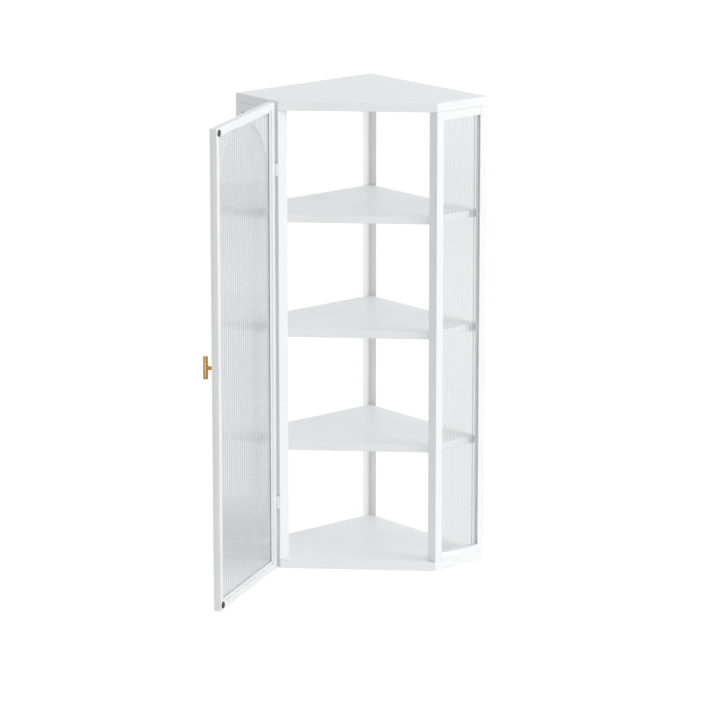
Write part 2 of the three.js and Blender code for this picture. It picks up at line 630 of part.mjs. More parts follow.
function addMagnets() {
  const thickness = DOOR_GAP - SEAT - MAGNET_AIR;
  const places = [['top', DOOR_TOP - MAGNET_END_INSET], ['bottom', DOOR_BOTTOM + MAGNET_END_INSET]];
  places.forEach(([name, z]) => {
    const disc = rod(MAGNET_RADIUS, 0, thickness).rotateX(-Math.PI / 2);
    disc.translate(DOOR_END_X - MAGNET_SIDE_INSET, DOOR_INNER_Y + SEAT, z);
    add(door, `door_magnet_${name}`, disc, magnetSteel);
  });
}

// A T-bar knob: a neck with a stud through the face panel, a nut behind it and a bar on its spigot.
function addKnob() {
  const group = new THREE.Group();
  group.position.set(DOOR_END_X - KNOB_EDGE_INSET, DOOR_OUTER_Y, KNOB_HEIGHT);
  door.add(group);
  const barY = KNOB_RADIUS - KNOB_PROJECTION;
  const half = KNOB_LENGTH / 2;
  const bar = turned([
    [0, -half], [KNOB_RADIUS - KNOB_CHAMFER, -half], [KNOB_RADIUS, KNOB_CHAMFER - half],
    [KNOB_RADIUS, half - KNOB_CHAMFER], [KNOB_RADIUS - KNOB_CHAMFER, half], [0, half],
  ]);
  const socket = rod(SPIGOT_RADIUS + HOLE_CLEARANCE, -OVERRUN - KNOB_RADIUS, SPIGOT_LENGTH - KNOB_RADIUS + SEAT);
  const drilled = cut(bar, socket.rotateX(Math.PI / 2));
  add(group, 'knob_bar', drilled, brass).position.y = barY;
  const neckLength = KNOB_PROJECTION - 2 * KNOB_RADIUS;
  const stud = DOOR_SHEET + 2 * SEAT + NUT_THICKNESS;
  const neck = turned([
    [0, -stud], [STUD_RADIUS, -stud], [STUD_RADIUS, SEAT], [NECK_RADIUS, SEAT],
    [NECK_WAIST, neckLength / 2], [NECK_RADIUS, neckLength - SEAT], [SPIGOT_RADIUS, neckLength - SEAT],
    [SPIGOT_RADIUS, neckLength - SEAT + SPIGOT_LENGTH], [0, neckLength - SEAT + SPIGOT_LENGTH],
  ]);
  add(group, 'knob_neck', neck.rotateX(Math.PI / 2), brass);
  const ring = rod(NUT_RADIUS, 0, NUT_THICKNESS, NUT_SIDES);
  const nut = cut(ring, rod(STUD_RADIUS + HOLE_CLEARANCE, -OVERRUN, NUT_THICKNESS + OVERRUN));
  add(group, 'knob_nut', nut.rotateX(-Math.PI / 2), zincSteel).position.y = DOOR_SHEET + SEAT;
}

addTrays();
addGlides();
addStiffener();
addCornerAngle();
addSides();
HINGES.forEach(([name, bottom]) => {
  addHingePost(name, bottom);
  addHingeDoor(name, bottom);
});
addStile('hinge', DOOR_X, 1);
addStile('free', DOOR_END_X, -1);
addDoorRail('bottom', DOOR_BOTTOM, 1);
addDoorRail('top', DOOR_TOP, -1);
addArchPanel();
addDoorGlass();
addMagnets();
addKnob();

export default cabinet;
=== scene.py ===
"""A white corner cupboard with reeded glass and a brass knob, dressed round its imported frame."""

import json
import math

import bmesh
import bpy
from mathutils import Matrix, Vector
from mathutils.geometry import tessellate_polygon

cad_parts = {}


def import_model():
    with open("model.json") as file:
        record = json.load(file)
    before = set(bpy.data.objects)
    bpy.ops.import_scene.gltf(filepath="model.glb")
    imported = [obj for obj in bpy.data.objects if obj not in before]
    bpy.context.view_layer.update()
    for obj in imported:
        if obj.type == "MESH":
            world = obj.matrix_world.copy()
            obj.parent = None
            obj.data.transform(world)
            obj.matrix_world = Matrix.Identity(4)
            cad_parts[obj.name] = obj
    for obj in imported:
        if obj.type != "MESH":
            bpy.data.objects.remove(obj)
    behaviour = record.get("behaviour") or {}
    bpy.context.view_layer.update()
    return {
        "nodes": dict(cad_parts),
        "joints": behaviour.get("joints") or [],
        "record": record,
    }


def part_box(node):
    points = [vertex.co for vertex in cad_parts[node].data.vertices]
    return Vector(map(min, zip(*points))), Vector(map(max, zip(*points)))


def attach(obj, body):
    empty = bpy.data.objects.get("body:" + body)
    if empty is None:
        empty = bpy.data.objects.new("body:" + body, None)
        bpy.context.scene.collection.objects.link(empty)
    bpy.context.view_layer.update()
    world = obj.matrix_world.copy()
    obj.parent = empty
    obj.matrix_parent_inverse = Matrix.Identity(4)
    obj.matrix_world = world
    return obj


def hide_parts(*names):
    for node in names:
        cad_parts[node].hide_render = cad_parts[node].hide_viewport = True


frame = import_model()

MM = 0.001

# The camera stands at the photograph's place: to the right, above the top, looking down.
CAMERA_PLACE = (0.6146, -8.1041, 2.4101)
CAMERA_TURN = 0.07678  # radians to the left
CAMERA_DIP = 0.24102  # radians down
CAMERA_REACH = 200  # metres
SENSOR = 36.0
PICTURE = 720
FOCAL_PIXELS = 3929.5

# Sizes of the cupboard that the dressed pieces follow, in millimetres.
HEIGHT = 1000
WALL_SIDE = 370
RETURN_SIDE = 138
TRAY_HEIGHT = 19
TRAY_SHEET = 1.2
TRAY_RETURN = 26
SHELF_HEIGHT = 15.5
SHELF_SHEET = 1
SHELF_RETURN = 13
SHELF_POST_GAP = 1
SHELF_WALL_GAP = 0.5
FOLD_RADIUS = 1.4  # outside of a folded edge
CORNER_WALL = 1.5
GLIDE_PROUD = 1
GLIDE_RADIUS = 9
GLIDE_STEM_RADIUS = 2.5
GLIDE_STEM = 4
BASE_TOP = GLIDE_PROUD + TRAY_HEIGHT
CEILING = HEIGHT - TRAY_HEIGHT
FRAME_TUBE = 12
FRAME_DEPTH = 24
FRAME_WALL = 1.2
SEAT = 0.3  # clearance between pieces that are seated on each other
SIDE_GLASS_BACK = 3 + SEAT
GLASS = 4
REED_PITCH = 10.6
REED_DEPTH = 0.5  # shown shallower than the solid's 1 mm, with rounded valleys as rolled glass has
DOOR_REED_DEPTH = 0.25  # shallower again, because the door shows its reeds so much aslant
REED_STEPS = 14
DOOR_X = 5.5
DOOR_WIDTH = 326.104
DOOR_END_X = DOOR_X + DOOR_WIDTH
DOOR_BOTTOM = 3
DOOR_TOP = 999.5
DOOR_TUBE = 14
DOOR_PANEL = 5
DOOR_SHEET = 1.2
ARCH_MARGIN = 19.5
ARCH_TOP_MARGIN = 18
ARCH_STEPS = 64
DOOR_INNER_Y = -1
DOOR_OUTER_Y = -16
DOOR_GLASS_Y = -10.7
DOOR_OPEN = 105  # degrees
HINGE_LENGTH = 27
HINGE_INSET = 142
HINGE_TURN = 135  # degrees, the way that the fixed leaves run back from the axis
KNUCKLE_RADIUS = 3
KNUCKLE_LENGTH = 0.37 * HINGE_LENGTH
KNUCKLE_EASE = 0.3
AXIS_OUT = 3.54  # left side of the case to the hinge axis
PIN_HEAD_RADIUS = 2
PIN_HEAD = 1
PIN_DOME = 80  # degrees from the rim, which leaves a small flat on top
LEAF = 1.2
LEAF_WIDTH = 12
LEAF_STANDOFF = 1
LEAF_MARGIN = 2
LEAF_CORNER = 2.5  # rounded corners of a hinge leaf
SCREW_RADIUS = 1.5
SCREW_HEAD_RADIUS = 2.6
SCREW_HEAD = 1.3
SCREW_BRIM = 0.24  # height of the head's straight rim
SCREW_DOME_RADIUS = 0.96
SCREW_DOME = 70  # degrees of the rounding above the rim
SCREW_SIDES = 24
SCREW_BITE = 4
SCREW_TIP = 0.8
SCREW_TIP_RADIUS = 1.05
SCREW_SPACING = 15
SOCKET_RADIUS = 1.2  # hexagon recess in a screw's head, to its flats
SOCKET_DEPTH = 0.8
MAGNET_RADIUS = 7
MAGNET_THICKNESS = 1.3
MAGNET_SIDE_INSET = 13
MAGNET_END_INSET = 10
KNOB_HEIGHT = 509.5
KNOB_EDGE_INSET = 10
KNOB_LENGTH = 47
KNOB_RADIUS = 5
KNOB_PROJECTION = 22
KNOB_EASE = 0.9  # rounding of the bar's ends
NECK_RADIUS = 4.3
NECK_WAIST = 4
NECK_STEPS = 8

# How much the cut and folded edges of the steel are rounded, in millimetres.
TRAY_ROUNDING = 0.5
FRAME_ROUNDING = 0.35
LEAF_ROUNDING = 0.15
ROUNDED_ANGLE = 35  # degrees; edges that turn by less stay as they are
WELD_REACH = 0.01

# What tells a mesh's edges and faces apart.
SMOOTH_ANGLE = 30  # degrees; edges that turn by more stay sharp
REED_SMOOTH_ANGLE = 20
CUT_FACE = 0.5  # a glass sheet's face whose normal points this much along the sheet is a cut edge

PAINT_ROUGHNESS = (0.3, 0.36)
PAINT_IOR = 1.5
GLASS_ROUGHNESS = 0.03
GLASS_IOR = 1.5
GLASS_CLEAR = 0.25  # turned away by no more than this, where 0 is face on, the glass looks clear
METAL_SPREAD = 0.06  # how far a metal's roughness goes to each side
# How marks are drawn out: along an axis whose scale is small.
STREAKS = (1.0, 1.0, 0.01)
BRUSHED = (1.0, 1.0, 0.06)
EVEN = (1.0, 1.0, 1.0)

# Levels of the studio's light, where 1 looks white.
SKY = (0.0, 0.82, 0.64)  # from the sides, from the front and behind, and from above
SKY_TILT = (0.0, 0.22, 0.0)  # more from behind than from the front
SKY_MIRRORED = 0.85
SKY_THROUGH = 0.92
SKY_SEEN = 1.0
FLOOR_WHITE = 0.8  # the floor's own colour as lit surfaces get it
FLOOR_WHITE_SEEN = 0.22  # and as the camera does, enough to carry the cupboard's shadow
FLOOR_GLOW_SEEN = 0.86
FLOOR_HALF = 60.0  # metres

# Painted glow on the floor, by the distance from a place, in metres: a painted pool of light round
# the cupboard, as lit surfaces get it,
POOL = dict(centre=(0, 0, 0), near=0.2, far=1.6, first=0.21, last=0.0)
# a painted reflection level, dimmer near the cupboard, as reflections show it,
GLINT = dict(centre=(0, 0, 0), near=1.0, far=3.5, first=0.6, last=0.85)
# and as glass shows it, a painted shadow and painted dimness: darkest in the cupboard's shadow,
# and dimmer again far behind, which the top of the door's glass shows.
SHADE = dict(centre=(-0.35, 0.05, 0), near=0.1, far=0.42, first=0.62)
DISTANT = dict(centre=(-1.3, 3.7, 0), near=0.5, far=1.7, first=0.77, last=0.875)

HALF_WIDTH = WALL_SIDE * math.sqrt(0.5)
HALF_FRONT = (WALL_SIDE - RETURN_SIDE) * math.sqrt(0.5)
HALF_DEPTH = (WALL_SIDE + RETURN_SIDE) * math.sqrt(0.5) / 2
WALL_Y = HALF_DEPTH - HALF_WIDTH
CASE_OUTLINE = [
    (0, HALF_DEPTH),
    (-HALF_WIDTH, WALL_Y),
    (-HALF_FRONT, -HALF_DEPTH),
    (HALF_FRONT, -HALF_DEPTH),
    (HALF_WIDTH, WALL_Y),
]


# Colours and nodes


def linear(hex_colour):
    """The linear colour of an sRGB hex value, with full alpha."""
    channels = [int(hex_colour[i : i + 2], 16) / 255 for i in (1, 3, 5)]
    lit = [c / 12.92 if c <= 0.04045 else ((c + 0.055) / 1.055) ** 2.4 for c in channels]
    return (*lit, 1.0)


def add(tree, kind, links=None, **settings):
    """Adds a node. links go to its sockets by name or number.

    A setting is one of its properties or, with its first letter large, one of its sockets."""
    made = tree.nodes.new(kind)
    for name, value in settings.items():
        if hasattr(made, name):
            setattr(made, name, value)
        else:
            made.inputs[name.replace("_", " ")].default_value = value
    for name, source in (links or {}).items():
        tree.links.new(source, made.inputs[name])
    return made


def material(name):
    """An empty node material, its tree, and the place on the object that its textures follow."""
    made = bpy.data.materials.new(name)
    made.use_nodes = True
    tree = made.node_tree
    tree.nodes.clear()
    return made, tree, add(tree, "ShaderNodeTexCoord").outputs["Object"]


def drawn(tree, place, stretch):
    """A place with each of its axes scaled."""
    return add(tree, "ShaderNodeMapping", {"Vector": place}, Scale=stretch).outputs["Vector"]


def noise(tree, place, spacing, detail):
    """Noise from 0 to 1, whose marks are about so many millimetres apart."""
    settings = dict(Scale=1 / (spacing * MM), Detail=detail)
    return add(tree, "ShaderNodeTexNoise", {"Vector": place}, **settings).outputs["Fac"]


def bump(tree, height, strength, depth):
    """A normal that follows a height, which is so many millimetres deep."""
    made = add(tree, "ShaderNodeBump", {"Height": height}, Strength=strength, Distance=depth * MM)
    return made.outputs["Normal"]


def ranged(tree, share, low, high):
    """A value that goes from low to high as a share goes from 0 to 1."""
    made = add(tree, "ShaderNodeMapRange", {"Value": share}, To_Min=low, To_Max=high)
    return made.outputs["Result"]


def blend(tree, factor, first, second):
    """A colour that goes from one sRGB hex value to another as the factor rises."""
    made = add(tree, "ShaderNodeMix", {"Factor": factor}, data_type="RGBA")
    made.inputs["A"].default_value = linear(first)
    made.inputs["B"].default_value = linear(second)
    return made.outputs["Result"]


def skin(tree, links, **settings):
    """Ends a material with one principled surface."""
    surface = add(tree, "ShaderNodeBsdfPrincipled", links, **settings)
    add(tree, "ShaderNodeOutputMaterial", {"Surface": surface.outputs["BSDF"]})


def powder_coat():
    """Polyester powder coat on sheet steel, satin white."""
    made, tree, place = material("satin_white_powder_coat")
    # The film's thickness varies over a hand's width, and the white and the gloss with it.
    film = noise(tree, place, spacing=90, detail=3.0)
    # Orange peel: shallow dimples.
    peel = noise(tree, place, spacing=1.5, detail=2.0)
    links = {
        "Base Color": blend(tree, film, "#EFF0F1", "#F4F5F5"),
        "Roughness": ranged(tree, film, *PAINT_ROUGHNESS),
        "Normal": bump(tree, peel, strength=0.25, depth=0.02),
    }
    skin(tree, links, IOR=PAINT_IOR)
    return made


def reeded_glass():
    """Rolled soda-lime glass: clear face on, and a darker green grey where it is seen aslant."""
    made, tree, place = material("reeded_rolled_glass")
    facing = add(tree, "ShaderNodeLayerWeight", Blend=0.5).outputs["Facing"]
    slant = add(tree, "ShaderNodeMapRange", {"Value": facing}, From_Min=GLASS_CLEAR)
    # Ream from rolling: upright streaks that hold a trace more iron.
    ream = noise(tree, drawn(tree, place, STREAKS), spacing=3, detail=2.0)
    tints = {
        "Factor": slant.outputs["Result"],
        "A": blend(tree, ream, "#F6F8F9", "#FAFBFC"),
        "B": blend(tree, ream, "#D3DADD", "#DEE3E5"),
    }
    tint = add(tree, "ShaderNodeMix", tints, data_type="RGBA").outputs["Result"]
    settings = dict(Roughness=GLASS_ROUGHNESS, IOR=GLASS_IOR, Transmission_Weight=1.0)
    body = add(tree, "ShaderNodeBsdfPrincipled", {"Base Color": tint}, **settings)
    # Light reaches what stands behind the glass straight through it, slightly dimmed.
    through = add(tree, "ShaderNodeBsdfTransparent", Color=linear("#FBFCFC"))
    path = add(tree, "ShaderNodeLightPath")
    rays = {0: path.outputs["Is Shadow Ray"], 1: path.outputs["Is Diffuse Ray"]}
    light = add(tree, "ShaderNodeMath", rays, operation="MAXIMUM").outputs["Value"]
    shaders = {"Fac": light, 1: body.outputs["BSDF"], 2: through.outputs["BSDF"]}
    mix = add(tree, "ShaderNodeMixShader", shaders)
    add(tree, "ShaderNodeOutputMaterial", {"Surface": mix.outputs["Shader"]})
    return made


def matt(name, low, high, spacing, roughness, ior):
    """A matt skin between two sRGB values, whose fine grain lies so many millimetres apart."""
    made, tree, place = material(name)
    grain = noise(tree, place, spacing, detail=2.0)
    links = {
        "Base Color": blend(tree, grain, low, high),
        "Normal": bump(tree, grain, strength=0.3, depth=0.02),
    }
    skin(tree, links, Roughness=roughness, IOR=ior)
    return made


def metal(name, low, high, roughness, spacing, depth, stretch=EVEN):
    """A metal between two sRGB values, whose fine marks lie so many millimetres apart."""
    made, tree, place = material(name)
    marks = noise(tree, drawn(tree, place, stretch), spacing, detail=4.0)
    links = {
        "Base Color": blend(tree, marks, low, high),
        "Roughness": ranged(tree, marks, roughness - METAL_SPREAD, roughness + METAL_SPREAD),
        "Normal": bump(tree, marks, strength=0.4, depth=depth),
    }
    skin(tree, links, Metallic=1.0)
    return made


# Making pieces


def shift(x, y, z):
    """The matrix of a shift, in millimetres."""
    return Matrix.Translation(Vector((x, y, z)) * MM)


def placed(x, y, z, degrees):
    """The matrix of a frame that stands at a point and is turned about the upright axis."""
    return shift(x, y, z) @ Matrix.Rotation(math.radians(degrees), 4, "Z")


LAID = Matrix.Rotation(-math.pi / 2, 4, "X")  # turns a piece's own z to its carrier's +y
TURNED_OUT = Matrix.Rotation(math.pi / 2, 4, "X")  # turns it to the carrier's -y
AXIS = Vector(frame["joints"][0]["pos_m"]) / MM
# x along the left glazed side from its wall post, along the right one from its front post, and
# along the door from the hinge axis. y goes into the case, or to the door's inner face.
LEFT = placed(-HALF_WIDTH, WALL_Y, 0, -45)
RIGHT = placed(HALF_FRONT, -HALF_DEPTH, 0, 45)
DOOR = placed(AXIS.x, AXIS.y, 0, -DOOR_OPEN)


def piece(name, shape, place, body, slot, stands_for=(), smooth_angle=SMOOTH_ANGLE):
    """A closed mesh piece from points in millimetres and faces, put in place on a body.

    It takes its slot's finish, and is smooth but for edges that turn by more than an angle."""
    verts, faces = shape
    mesh = bpy.data.meshes.new(name)
    mesh.from_pydata([Vector(v) * MM for v in verts], [], faces)
    turning = bmesh.new()
    turning.from_mesh(mesh)
    bmesh.ops.recalc_face_normals(turning, faces=turning.faces)
    turning.to_mesh(mesh)
    turning.free()
    mesh.transform(place)
    mesh.shade_smooth()
    mesh.set_sharp_from_angle(angle=math.radians(smooth_angle))
    made = bpy.data.objects.new(name, mesh)
    bpy.context.scene.collection.objects.link(made)
    made.data.materials.append(FINISHES[slot])
    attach(made, body)
    if stands_for:
        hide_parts(*stands_for)
    return made


def soften(obj, width, weld=False):
    """Rounds the cut edges, as paint and the press leave them, and keeps the flats flat."""
    if weld:
        obj.modifiers.new("weld", "WELD").merge_threshold = WELD_REACH * MM
    bevel = obj.modifiers.new("round", "BEVEL")
    bevel.width = width * MM
    bevel.segments = 2
    bevel.limit_method = "ANGLE"
    bevel.angle_limit = math.radians(ROUNDED_ANGLE)
    bevel.use_clamp_overlap = True
    if not weld:
        flats = obj.modifiers.new("flats", "WEIGHTED_NORMAL")
        flats.keep_sharp = True


def rings(loops):
    """A solid from loops of equally many points: faces between them, and a cap on each end."""
    count = len(loops[0])
    verts = [point for loop in loops for point in loop]
    faces = []
    for low in range(0, len(verts) - count, count):
        faces += band(low, low + count, count)
    faces.append(tuple(range(count))[::-1])
    faces.append(tuple(range(len(verts) - count, len(verts))))
    return verts, faces


def band(low, high, count):
    """Faces between two loops of count points, by the numbers of their first points."""
    around = [(k, (k + 1) % count) for k in range(count)]
    return [(low + k, low + after, high + after, high + k) for k, after in around]


def around_axis(radii, z, turns):
    """Points round the z axis, by their radii and angles."""
    return [(r * math.cos(t), r * math.sin(t), z) for r, t in zip(radii, turns)]


def turns_of(sides):
    """The angles of a turned piece's sides."""
    return [2 * math.pi * k / sides for k in range(sides)]


def lathe(profile, sides=48):
    """Turns (radius, height) points round the z axis."""
    return rings([around_axis([r] * sides, z, turns_of(sides)) for r, z in profile])


def arc(x, y, radius, start, end, steps=4):
    """Points on an arc, from one angle to another in degrees."""
    angles = [math.radians(start + (end - start) * k / steps) for k in range(steps + 1)]
    return [(x + radius * math.cos(a), y + radius * math.sin(a)) for a in angles]


def inset(outline, distance):
    """An anticlockwise outline with its edges moved inwards."""
    lines = []
    for (x, y), (next_x, next_y) in zip(outline, outline[1:] + outline[:1]):
        along = Vector((next_x - x, next_y - y)).normalized()
        lines.append((Vector((x - along.y * distance, y + along.x * distance)), along))
    corners = []
    for (before, way), (here, along) in zip(lines[-1:] + lines[:-1], lines):
        gap = here - before
        corners.append(before + way * (gap.cross(along) / way.cross(along)))
    return [(corner.x, corner.y) for corner in corners]


def plate(outline, near, far):
    """A flat plate drawn in (x, z) between two depths."""
    return rings([[(x, y, z) for x, z in outline] for y in (near, far)])


def joined(*parts):
    """Several closed meshes as one list of points and faces."""
    verts, faces = [], []
    for more_verts, more_faces in parts:
        start = len(verts)
        verts += more_verts
        faces += [tuple(start + k for k in face) for face in more_faces]
    return verts, faces


# Sheet metal


def tray(name, outline, foot, height, sheet, flange):
    """A tray folded from one sheet: a top skin, a skirt and a flange turned in at its foot."""
    low, high, inner = FOLD_RADIUS, height - FOLD_RADIUS, FOLD_RADIUS - sheet
    outside = arc(low, high, FOLD_RADIUS, 90, 180) + arc(low, low, FOLD_RADIUS, 180, 270)
    inside = arc(low, low, inner, 270, 180) + arc(low, high, inner, 180, 90)
    section = outside + [(flange, 0), (flange, sheet)] + inside
    loops = [[(x, y, foot + z) for x, y in inset(outline, across)] for across, z in section]
    made = piece(name + "_folded", rings(loops), Matrix(), "case", "paint", (name,))
    soften(made, TRAY_ROUNDING)


def shelf_outline():
    """A shelf's outline in plan, clear of the posts, the glazed sides and the corner angle."""
    side = (FRAME_DEPTH + SEAT) * math.sqrt(0.5)
    gap = SHELF_POST_GAP * math.sqrt(0.5)
    wall = (CORNER_WALL + SHELF_WALL_GAP) * math.sqrt(2)
    front = (HALF_FRONT - side + gap, -HALF_DEPTH + side + gap)
    end = (HALF_WIDTH - side - wall / 2, WALL_Y + side - wall / 2)
    return [(0, HALF_DEPTH - wall), (-end[0], end[1]), (-front[0], front[1]), front, end]


def shelf_tops():
    """Heights of the three shelves' upper faces, by name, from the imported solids."""
    return {name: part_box("shelf_" + name)[1][2] / MM for name in ("lower", "middle", "upper")}


def add_trays():
    """The top, the base and the shelves."""
    for name, foot in (("top_panel", CEILING), ("base_panel", GLIDE_PROUD)):
        tray(name, CASE_OUTLINE, foot, TRAY_HEIGHT, TRAY_SHEET, TRAY_RETURN)
    for name, top in shelf_tops().items():
        foot = top - SHELF_HEIGHT
        tray("shelf_" + name, shelf_outline(), foot, SHELF_HEIGHT, SHELF_SHEET, SHELF_RETURN)


# Glass


def reeded_sheet(name, body, node, place, width, height, depth):
    """A glass sheet, flat on its near face and reeded upright on the other.

    Its edges lie on the CAD sheet's."""
    steps = round(width / REED_PITCH) * REED_STEPS
    far = []
    for i in range(steps + 1):
        swell = (1 - math.cos(2 * math.pi * i / REED_STEPS)) / 2
        far.append((width * i / steps, GLASS - depth * (1 - swell)))
    outline = [(x, 0) for x, _ in far] + far[::-1]
    count = len(outline)
    verts = [(x, y, z) for z in (0, height) for x, y in outline]
    faces = band(0, count, count)
    for i in range(steps):
        near, next_near, next_far, this_far = i, i + 1, count - 2 - i, count - 1 - i
        faces.append((this_far, next_far, next_near, near))
        faces.append((count + near, count + next_near, count + next_far, count + this_far))
    sheet = piece(name, (verts, faces), place, body, "glass", (node,), REED_SMOOTH_ANGLE)
    sheet.data.materials.append(GROUND_EDGE)
    along = place.col[0].xyz
    for face in sheet.data.polygons:
        if abs(face.normal.z) > CUT_FACE or abs(face.normal.dot(along)) > CUT_FACE:
            face.material_index = 1


def add_glass():
    """The panes of the two sides and of the door."""
    edge = FRAME_TUBE + SEAT
    width = RETURN_SIDE - 2 * edge
    height = CEILING - BASE_TOP - 2 * edge
    lift = shift(edge, SIDE_GLASS_BACK, BASE_TOP + edge)
    for side, group in (("left", LEFT), ("right", RIGHT)):
        name, node = "side_glass_" + side, side + "_glass"
        reeded_sheet(name, "case", node, group @ lift, width, height, REED_DEPTH)
    edge = DOOR_TUBE + SEAT
    width = DOOR_WIDTH - 2 * edge
    height = DOOR_TOP - DOOR_BOTTOM - 2 * edge
    place = DOOR @ shift(DOOR_X + edge, DOOR_GLASS_Y, DOOR_BOTTOM + edge)
    reeded_sheet("door_sheet", "door", "door_glass", place, width, height, DOOR_REED_DEPTH)


def arch_outline(grow):
    """The door's arched opening in (x, z), grown on all sides."""
    radius = DOOR_WIDTH / 2 - ARCH_MARGIN
    middle = DOOR_X + DOOR_WIDTH / 2
    spring = DOOR_TOP - ARCH_TOP_MARGIN - radius
    foot = DOOR_BOTTOM + ARCH_MARGIN - grow
    arch = arc(middle, spring, radius + grow, 0, 180, ARCH_STEPS)
    return [(middle - radius - grow, foot), (middle + radius + grow, foot)] + arch


def add_panel_core():
    """A white board that fills the folded face panel, with the panel's own arched opening."""
    rim = DOOR_SHEET + SEAT
    left, right = DOOR_X + rim, DOOR_END_X - rim
    low, high = DOOR_BOTTOM + rim, DOOR_TOP - rim
    edge = [(left, low), (right, low), (right, high), (left, high)]
    hole = arch_outline(rim)
    near, far = DOOR_OUTER_Y + rim, DOOR_OUTER_Y + DOOR_PANEL - SEAT
    count = len(edge) + len(hole)
    verts = [(x, y, z) for y in (near, far) for x, z in edge + hole]
    faces = []
    for tri in tessellate_polygon([[Vector((x, z, 0)) for x, z in loop] for loop in (edge, hole)]):
        faces += [tuple(tri), tuple(k + count for k in tri)]
    for start, size in ((0, len(edge)), (len(edge), len(hole))):
        for k in range(size):
            here, after = start + k, start + (k + 1) % size
            faces.append((here, after, after + count, here + count))
    piece("face_panel_core", (verts, faces), DOOR, "door", "paint")


# Small fittings


def screw(name, node, place, length):
    """A pan-head screw with a hexagon recess, its head's underside on its own z = 0."""
    turns = turns_of(SCREW_SIDES)
    centre = SCREW_HEAD_RADIUS - SCREW_DOME_RADIUS
    rise = arc(centre, SCREW_BRIM, SCREW_DOME_RADIUS, 0, SCREW_DOME)
    shank = [(SCREW_TIP_RADIUS, -length), (SCREW_RADIUS, SCREW_TIP - length), (SCREW_RADIUS, 0)]
    profile = shank + [(SCREW_HEAD_RADIUS, 0)] + rise
    loops = [around_axis([r] * SCREW_SIDES, z, turns) for r, z in profile]
    flat = math.pi / 3
    hexagon = [SOCKET_RADIUS / math.cos((t + flat / 2) % flat - flat / 2) for t in turns]
    for z in (SCREW_HEAD, SCREW_HEAD - SOCKET_DEPTH):
        loops.append(around_axis(hexagon, z, turns))
    piece(name, rings(loops), place, "case", "zinc", (node,))


def add_shelf_screws():
    """The screws through the shelves' skirts into the posts."""
    seat = FRAME_DEPTH + 2 * SEAT + SHELF_SHEET
    length = 2 * SEAT + SHELF_SHEET + FRAME_WALL + SCREW_BITE
    near, far = FRAME_TUBE / 2, RETURN_SIDE - FRAME_TUBE / 2
    left, right = {"front": far, "wall": near}, {"front": near, "wall": far}
    for shelf, top in shelf_tops().items():
        for side, group, posts in (("left", LEFT, left), ("right", RIGHT, right)):
            for post, x in posts.items():
                node = f"shelf_{shelf}_screw_{side}_{post}"
                place = group @ shift(x, seat, top - SHELF_HEIGHT / 2) @ LAID
                screw("pan_head_" + node, node, place, length)


def leaf_plate(width, height):
    """A hinge leaf's outline in (x, z), square on the knuckle's side and rounded on the other."""
    centre = width - LEAF_CORNER
    low = arc(centre, LEAF_CORNER, LEAF_CORNER, -90, 0, steps=5)
    high = arc(centre, height - LEAF_CORNER, LEAF_CORNER, 0, 90, steps=5)
    return [(0, 0)] + low + high + [(0, height)]


def barrel(low, high):
    """A hinge knuckle, its ends eased."""
    shrunk = KNUCKLE_RADIUS - KNUCKLE_EASE
    bottom = [(shrunk, low), (KNUCKLE_RADIUS, low + KNUCKLE_EASE)]
    top = [(KNUCKLE_RADIUS, high - KNUCKLE_EASE), (shrunk, high)]
    return lathe(bottom + top)


def add_hinges():
    """Butt hinges: two fixed knuckles and their leaf, the door's knuckle and leaf, and a pin."""
    half = HINGE_LENGTH / 2
    bottoms = {
        "lower": DOOR_BOTTOM + HINGE_INSET - half,
        "upper": DOOR_TOP - HINGE_INSET - half,
    }
    low = (HINGE_LENGTH - KNUCKLE_LENGTH) / 2
    high = low + KNUCKLE_LENGTH
    for name, bottom in bottoms.items():
        fixed = placed(AXIS.x, AXIS.y, bottom, HINGE_TURN)
        add_post_leaf(f"hinge_{name}_post_leaf", fixed, low, high)
        add_pin(f"hinge_{name}_pin", fixed)
        add_leaf_screws(f"hinge_{name}_screw_", fixed)
        add_door_leaf(f"hinge_{name}_door_leaf", DOOR @ shift(0, 0, bottom), low, high)


def add_post_leaf(node, fixed, low, high):
    """The fixed leaf and its knuckles, below and above the door's knuckle."""
    seat = SEAT - AXIS_OUT
    back = plate(leaf_plate(LEAF_WIDTH, HINGE_LENGTH), seat, seat + LEAF)
    leaf = joined(back, barrel(0, low - SEAT), barrel(high + SEAT, HINGE_LENGTH))
    soften(piece(node + "_rolled", leaf, fixed, "case", "paint", (node,)), LEAF_ROUNDING)


def add_pin(node, fixed):
    """A hinge pin with domed ends."""
    head = HINGE_LENGTH + SEAT
    dome = arc(0, 0, PIN_HEAD_RADIUS, 0, PIN_DOME, steps=5)
    cap = [(r, head + z * PIN_HEAD / PIN_HEAD_RADIUS) for r, z in dome]
    foot = [(r, -SEAT - z * PIN_HEAD / PIN_HEAD_RADIUS) for r, z in reversed(dome)]
    piece(node + "_domed", lathe(foot + cap), fixed, "case", "zinc", (node,))


def add_leaf_screws(stem, fixed):
    """The two screws through the fixed leaf into the post."""
    across = KNUCKLE_RADIUS + SCREW_HEAD_RADIUS + SEAT
    seat = SEAT - AXIS_OUT + LEAF + SEAT
    rows = {"bottom": HINGE_LENGTH - SCREW_SPACING, "top": HINGE_LENGTH + SCREW_SPACING}
    for row, twice_z in rows.items():
        place = fixed @ shift(across, seat, twice_z / 2) @ LAID
        screw("pan_head_" + stem + row, stem + row, place, LEAF + FRAME_WALL + SCREW_BITE)


